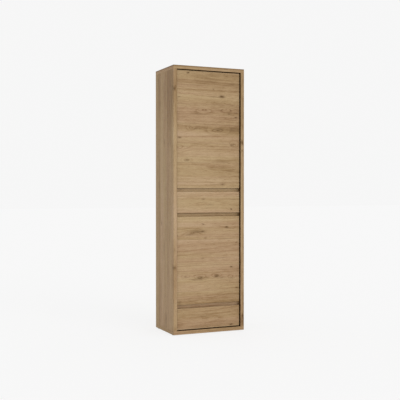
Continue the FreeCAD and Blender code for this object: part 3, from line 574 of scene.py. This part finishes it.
UPPER_DRAWER_EYES = (((202, 203), 0.200, 0.030, 0.08),)
UPPER_DRAWER_SHADES = (
    ((210, 194.5), 0.350, 0.025, -0.14),
    ((192, 199), 0.150, 0.035, -0.14),
    ((205, 210), 0.300, 0.030, 0.14),
)
LOWER_DOOR_SEAM = (200, 291)
LOWER_DOOR_KNOTS = (
    ((202.8, 224.3), 0.018, 0.009, 1.4),
    ((226.6, 227.1), 0.024, 0.011, 1.9),
    ((197, 231.6), 0.095, 0.018, 0.8),
    ((190, 234.4), 0.085, 0.013, 0.6),
    ((203, 231), 0.030, 0.011, 0.8),
    ((205.3, 237.9), 0.018, 0.011, 0.6),
    ((176.8, 235.8), 0.018, 0.010, 0.9),
    ((223, 238.8), 0.080, 0.005, 0.5),
    ((236, 242.5), 0.016, 0.009, 1.2),
    ((202.8, 258.3), 0.024, 0.007, 0.7),
    ((222, 257.6), 0.110, 0.004, 0.5),
    ((231.2, 266.8), 0.020, 0.009, 1.5),
    ((200.5, 277.9), 0.048, 0.020, 1.0),
    ((217, 275.7), 0.038, 0.020, 1.0),
    ((194, 279.6), 0.050, 0.010, 0.6),
    ((207, 277.5), 0.030, 0.010, 0.6),
    ((222, 277.5), 0.030, 0.012, 0.5),
    ((186, 277), 0.030, 0.009, 0.5),
    ((231, 277.5), 0.036, 0.012, 0.5),
    ((237, 287.5), 0.018, 0.011, 1.2),
    ((227, 291.3), 0.075, 0.005, 0.5),
    ((189.5, 300), 0.008, 0.024, 0.2),
    ((179.5, 303), 0.034, 0.018, 0.6),
)
LOWER_DOOR_EYES = (
    ((200.5, 277.9), 0.085, 0.040, 0.18),
    ((217, 275.7), 0.065, 0.036, 0.16),
    ((231, 277), 0.055, 0.030, 0.15),
    ((186, 277), 0.060, 0.028, 0.13),
    ((193, 232.5), 0.130, 0.034, 0.17),
)
LOWER_DOOR_SHADES = (
    ((198, 221), 0.240, 0.050, 0.08),
    ((218, 223), 0.180, 0.040, 0.10),
    ((193, 232), 0.160, 0.035, -0.20),
    ((205, 244), 0.400, 0.025, -0.30),
    ((198, 256), 0.250, 0.050, -0.14),
    ((188, 262), 0.130, 0.022, -0.16),
    ((214, 268), 0.350, 0.028, 0.20),
    ((205, 275), 0.200, 0.040, -0.10),
    ((200, 287), 0.240, 0.045, 0.08),
    ((204, 292), 0.400, 0.020, 0.18),
    ((210, 299), 0.300, 0.036, -0.22),
    ((184, 303), 0.110, 0.030, -0.10),
    ((204, 301.3), 0.350, 0.016, 0.20),
    ((178, 254), 0.060, 0.060, -0.16),
)
LOWER_DRAWER_SEAM = (200, 330)
LOWER_DRAWER_KNOTS = (
    ((202.8, 316.3), 0.060, 0.008, 0.6),
    ((231.2, 324), 0.020, 0.009, 1.3),
)
LOWER_DRAWER_EYES = (((206, 318), 0.240, 0.034, 0.09),)
LOWER_DRAWER_SHADES = (
    ((200, 311), 0.240, 0.030, 0.06),
    ((190, 322), 0.160, 0.030, -0.05),
    ((227, 314), 0.150, 0.050, 0.12),
    ((178, 325), 0.060, 0.040, -0.24),
)
LEFT_EDGE_KNOTS = (
    ((174.8, 88.3), 0.024, 0.018, 1.2),
    ((174.8, 250.8), 0.024, 0.010, 0.7),
    ((174.8, 267.9), 0.024, 0.016, 1.1),
)
LEFT_EDGE_SHADES = (
    ((174.6, 94), 0.230, 0.030, -0.22),
    ((174.6, 131), 0.100, 0.030, 0.20),
    ((174.6, 214), 0.170, 0.030, 0.12),
    ((174.6, 272), 0.220, 0.030, -0.26),
    ((174.6, 332), 0.060, 0.030, -0.20),
)
LEFT_FACE_KNOTS = (
    ((160, 104), 0.070, 0.020, 0.5),
    ((164, 92), 0.130, 0.020, 0.4),
    ((164.5, 142), 0.040, 0.014, 0.6),
    ((159.5, 186), 0.080, 0.014, 0.5),
    ((161.6, 223.5), 0.022, 0.014, 1.1),
    ((169.5, 236), 0.110, 0.012, 0.35),
    ((164, 248), 0.090, 0.014, 0.9),
    ((166, 318), 0.075, 0.020, 0.6),
)
LEFT_FACE_SHADES = (
    ((161.8, 200), 1.600, 0.040, 0.16),
    ((159.4, 200), 1.600, 0.016, -0.10),
    ((165, 200), 1.600, 0.024, -0.10),
    ((166, 85), 0.400, 0.200, -0.24),
)
RIGHT_EDGE_KNOTS = (
    ((242, 142.5), 0.030, 0.014, 1.7),
    ((242, 150.5), 0.016, 0.010, 0.8),
    ((242.3, 315.5), 0.026, 0.012, 1.7),
)
RIGHT_EDGE_SHADES = (
    # The long pale mark along the inner edge of the right stile is painted light on the stile and on its
    # shaded reveal
    ((241.6, 200), 1.600, 0.012, 0.16),
    ((242, 83), 0.120, 0.030, -0.17),
    ((242, 125), 0.100, 0.030, -0.17),
    ((242, 286), 0.180, 0.030, 0.22),
    ((242, 322), 0.060, 0.030, -0.34),
)

# Marks that the photograph doesn't show, with a place in metres along the board and in depth, not a pixel
RIGHT_FACE_KNOTS = (
    ((1.310, 0.060), 0.028, 0.012, 1.2),
    ((1.270, 0.056), 0.090, 0.008, 0.5),
    ((0.960, -0.090), 0.022, 0.009, 1.0),
    ((0.710, 0.020), 0.030, 0.014, 1.3),
    ((0.655, 0.023), 0.110, 0.008, 0.5),
    ((0.380, -0.050), 0.020, 0.010, 1.1),
    ((0.240, 0.100), 0.026, 0.010, 0.9),
)
RIGHT_FACE_EYES = (
    ((1.300, 0.060), 0.120, 0.030, 0.18),
    ((0.700, 0.020), 0.150, 0.036, 0.20),
    ((0.320, -0.055), 0.130, 0.030, 0.16),
)
TOP_FACE_KNOTS = (
    ((-0.090, 0.040), 0.022, 0.010, 1.1),
    ((0.120, -0.062), 0.026, 0.011, 0.9),
)
TOP_FACE_EYES = (((0.100, -0.055), 0.130, 0.032, 0.18),)


# Boards

front_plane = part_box("upper_door_panel")[0].y
frame_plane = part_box("left_side_panel")[0].y
side_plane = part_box("left_side_panel")[0].x
right_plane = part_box("right_side_panel")[1].x
top_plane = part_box("top_panel")[1].z


def marks_on(axis, level, along, marks):
    """Marks with each pixel turned into its place on a board's face."""
    return [(along_and_across(seen_on(pixel, axis, level), along), *rest) for pixel, *rest in marks]


def on_front(marks):
    """Marks seen on the doors and drawer fronts."""
    return marks_on(Y, front_plane, X, marks)


def on_frame(marks):
    """Marks seen on the front edges of the side panels."""
    return marks_on(Y, frame_plane, Z, marks)


def on_side(marks):
    """Marks seen on the left face."""
    return marks_on(X, side_plane, Z, marks)


def on_far_face(level, marks):
    """Marks placed in metres on a face at a level, along the board and in depth."""
    return [((along, level + depth), *rest) for (along, depth), *rest in marks]


def front_oak(name, seed, stave_width, seam, knots, eyes, shades, tone=0.0):
    """The oak of a door or drawer front, whose grain runs across it and whose staves meet at a seam."""
    stave_edge = along_and_across(seen_on(seam, Y, front_plane), X)[1]
    return oak(name, X, seed, end_along=Z, tone=tone, drift=FRONT_SHADE_DRIFT, stave_width=stave_width,
               stave_edge=stave_edge, knots=on_front(knots), eyes=on_front(eyes), shades=on_front(shades))


finishes = {
    "upper_door_panel": front_oak(
        "upper_door_oak", seed=3.1, stave_width=0.116, seam=UPPER_DOOR_SEAM,
        knots=UPPER_DOOR_KNOTS, eyes=UPPER_DOOR_EYES, shades=UPPER_DOOR_SHADES),
    "upper_drawer_front": front_oak(
        "upper_drawer_oak", seed=11.6, tone=0.10, stave_width=0.14, seam=UPPER_DRAWER_SEAM,
        knots=UPPER_DRAWER_KNOTS, eyes=UPPER_DRAWER_EYES, shades=UPPER_DRAWER_SHADES),
    "lower_door_panel": front_oak(
        "lower_door_oak", seed=23.4, tone=0.01, stave_width=0.155, seam=LOWER_DOOR_SEAM,
        knots=LOWER_DOOR_KNOTS, eyes=LOWER_DOOR_EYES, shades=LOWER_DOOR_SHADES),
    "lower_drawer_front": front_oak(
        "lower_drawer_oak", seed=31.9, tone=0.02, stave_width=0.14, seam=LOWER_DRAWER_SEAM,
        knots=LOWER_DRAWER_KNOTS, eyes=LOWER_DRAWER_EYES, shades=LOWER_DRAWER_SHADES),
    "left_side_panel": oak(
        "left_side_oak", Z, seed=41.2, edge_tone=0.03, stave_width=0.14,
        knots=on_frame(LEFT_EDGE_KNOTS) + on_side(LEFT_FACE_KNOTS),
        shades=on_frame(LEFT_EDGE_SHADES) + on_side(LEFT_FACE_SHADES)),
    "right_side_panel": oak(
        "right_side_oak", Z, seed=47.8, edge_tone=-0.03, contrast=1.3, stave_width=0.14,
        knots=on_frame(RIGHT_EDGE_KNOTS) + on_far_face(right_plane, RIGHT_FACE_KNOTS),
        eyes=on_far_face(right_plane, RIGHT_FACE_EYES), shades=on_frame(RIGHT_EDGE_SHADES)),
    # The top panel's darker rim is a painted shade
    "top_panel": oak(
        "top_panel_oak", X, seed=53.0, top_tone=-0.30, knots=on_far_face(top_plane, TOP_FACE_KNOTS),
        eyes=on_far_face(top_plane, TOP_FACE_EYES)),
}

# The other boards, with the front that lies below each grip rail
PLAIN_BOARDS = (
    "bottom_panel", "upper_grip_rail", "middle_grip_rail", "lower_grip_rail",
    "upper_fixed_shelf", "middle_fixed_shelf", "lower_fixed_shelf",
    "upper_shelf_high", "upper_shelf_low", "lower_shelf", "wall_fixing_rail",
)
FRONT_BELOW = {
    "upper_grip_rail": "upper_drawer_front",
    "middle_grip_rail": "lower_door_panel",
    "lower_grip_rail": "lower_drawer_front",
}
FIRST_BOARD_SEED = 58.7
BOARD_SEED_STEP = 5.7
RAIL_TONE = 0.12
# Painted shade at the foot of each groove: its half length, half width in metres and strength
RAIL_SHADE_HALF_LENGTH = 0.6
RAIL_SHADE_HALF_WIDTH = 0.010
RAIL_SHADE_STRENGTH = -0.22


def rail_shade(rail, front):
    """A painted shade along the foot of a groove, on its grip rail along the top of the front below."""
    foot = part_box(rail)[0].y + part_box(front)[1].z
    return (0, foot), RAIL_SHADE_HALF_LENGTH, RAIL_SHADE_HALF_WIDTH, RAIL_SHADE_STRENGTH


for index, board in enumerate(PLAIN_BOARDS):
    is_rail = board in FRONT_BELOW
    finishes[board] = oak(board + "_oak", X, seed=FIRST_BOARD_SEED + BOARD_SEED_STEP * index,
                          tone=RAIL_TONE if is_rail else 0.0,
                          shades=[rail_shade(board, FRONT_BELOW[board])] if is_rail else ())

# Fittings, by material slot
RAW_FIBREBOARD = ((0.2, (0.20, 0.12, 0.06)), (0.8, (0.34, 0.22, 0.12)))
BARE_STEEL = (0.20, 0.19, 0.18, 1)

slot_finishes = {
    "back_sheet": fibreboard("back_sheet", shown=OAK_TONES[1:4], raw=RAW_FIBREBOARD),
    # The dark trim lining the reveals round the fronts is near black and without sheen, so it is partly a
    # painted shade of the gaps
    "dark_trim": moulded("dark_trim", dark=(0.030, 0.012, 0.001), pale=(0.050, 0.022, 0.003), roughness=0.7,
                         Specular_IOR_Level=0.0),
    "white_plastic": moulded("white_plastic", dark=(0.70, 0.69, 0.66), pale=(0.82, 0.81, 0.79),
                             roughness=0.42),
    "nylon": moulded("nylon", dark=(0.62, 0.60, 0.54), pale=(0.76, 0.74, 0.68), roughness=0.38),
    "soft_dot": moulded("soft_dot", dark=(0.55, 0.55, 0.52), pale=(0.70, 0.70, 0.68), roughness=0.3,
                        Transmission_Weight=0.35),
    "beech": beech("beech", dark=(0.40, 0.26, 0.14), pale=(0.66, 0.49, 0.31)),
    "zinc": plated("zinc", dull=(0.44, 0.45, 0.45), bright=(0.62, 0.62, 0.61), roughness=0.36),
    "nickel": plated("nickel", dull=(0.50, 0.48, 0.45), bright=(0.70, 0.68, 0.64), roughness=0.28),
    "runner_enamel": enamelled("runner_enamel", dark=(0.64, 0.63, 0.59), pale=(0.78, 0.77, 0.73),
                               bare=BARE_STEEL),
    "drawer_foil": foil("drawer_foil", dark=(0.50, 0.47, 0.42), pale=(0.66, 0.63, 0.58)),
    "drawer_sheet": foil("drawer_sheet", dark=(0.48, 0.45, 0.40), pale=(0.62, 0.59, 0.54)),
}
for part in frame["record"]["subparts"]:
    material = finishes.get(part["node"]) or slot_finishes[part["material_slot"]]
    frame["nodes"][part["node"]].material_slots[0].material = material


# Studio and camera

def seen_directly(tree):
    """1 for rays that show the studio itself: to the camera, in a reflection or through glass."""
    path = tree.nodes.new("ShaderNodeLightPath")
    total = path.outputs["Is Camera Ray"]
    for name in ("Is Glossy Ray", "Is Transmission Ray"):
        most = tree.nodes.new("ShaderNodeMath")
        most.operation = "MAXIMUM"
        tree.links.new(total, most.inputs[0])
        tree.links.new(path.outputs[name], most.inputs[1])
        total = most.outputs[0]
    return total


def build_world():
    """An even soft light, behind which the background shows pale grey."""
    world = bpy.data.worlds.new("studio")
    bpy.context.scene.world = world
    world.use_nodes = True
    tree = world.node_tree
    sky = tree.nodes["Background"]
    sky.inputs["Color"].default_value = WHITE
    sky.inputs["Strength"].default_value = SKY_STRENGTH
    shown = tree.nodes.new("ShaderNodeBackground")
    shown.inputs["Color"].default_value = WHITE
    shown.inputs["Strength"].default_value = BACKGROUND
    mix = tree.nodes.new("ShaderNodeMixShader")
    tree.links.new(seen_directly(tree), mix.inputs[0])
    tree.links.new(sky.outputs[0], mix.inputs[1])
    tree.links.new(shown.outputs[0], mix.inputs[2])
    tree.links.new(mix.outputs[0], tree.nodes["World Output"].inputs["Surface"])


def build_floor():
    """A plain pale floor that keeps a faint shadow of the cabinet."""
    corners = [(x, y, 0) for x, y in ((-1, -1), (1, -1), (1, 1), (-1, 1))]
    mesh = bpy.data.meshes.new("floor")
    mesh.from_pydata([Vector(corner) * FLOOR_HALF for corner in corners], [], [(0, 1, 2, 3)])
    floor = bpy.data.objects.new("floor", mesh)
    bpy.context.scene.collection.objects.link(floor)
    pale = Recipe("floor", Base_Color=FLOOR_COLOUR, Roughness=FLOOR_ROUGHNESS, Specular_IOR_Level=0.0)
    glow = pale.node("Emission", {"Color": WHITE, "Strength": FLOOR_GLOW})
    share = Field(pale, seen_directly(pale.tree)) * FLOOR_GLOW_SHARE
    both = pale.node("MixShader", {0: share, 1: pale.surface.outputs[0], 2: glow.outputs[0]})
    pale.tree.links.new(both.outputs[0], pale.tree.nodes["Material Output"].inputs["Surface"])
    mesh.materials.append(pale.material)


def build_key():
    """A wide soft light from the front, right and above."""
    lamp = bpy.data.lights.new("key", "SUN")
    lamp.energy = KEY_STRENGTH
    lamp.angle = KEY_SPREAD
    key = bpy.data.objects.new("key", lamp)
    key.rotation_euler = KEY_FROM.to_track_quat("Z", "Y").to_euler()
    bpy.context.scene.collection.objects.link(key)


def build_camera():
    """The photograph's camera, with no lens shift, so that views from elsewhere hold the whole cabinet."""
    lens = bpy.data.cameras.new("camera")
    lens.sensor_width = SENSOR_MM
    lens.lens = FOCAL_PIXELS / PHOTO_PIXELS * SENSOR_MM
    camera = bpy.data.objects.new("camera", lens)
    camera.location = CAMERA_PLACE
    camera.rotation_euler = CAMERA_ANGLES
    bpy.context.scene.collection.objects.link(camera)
    bpy.context.scene.camera = camera


build_world()
build_floor()
build_key()
build_camera()
bpy.context.scene.view_settings.view_transform = "Standard"
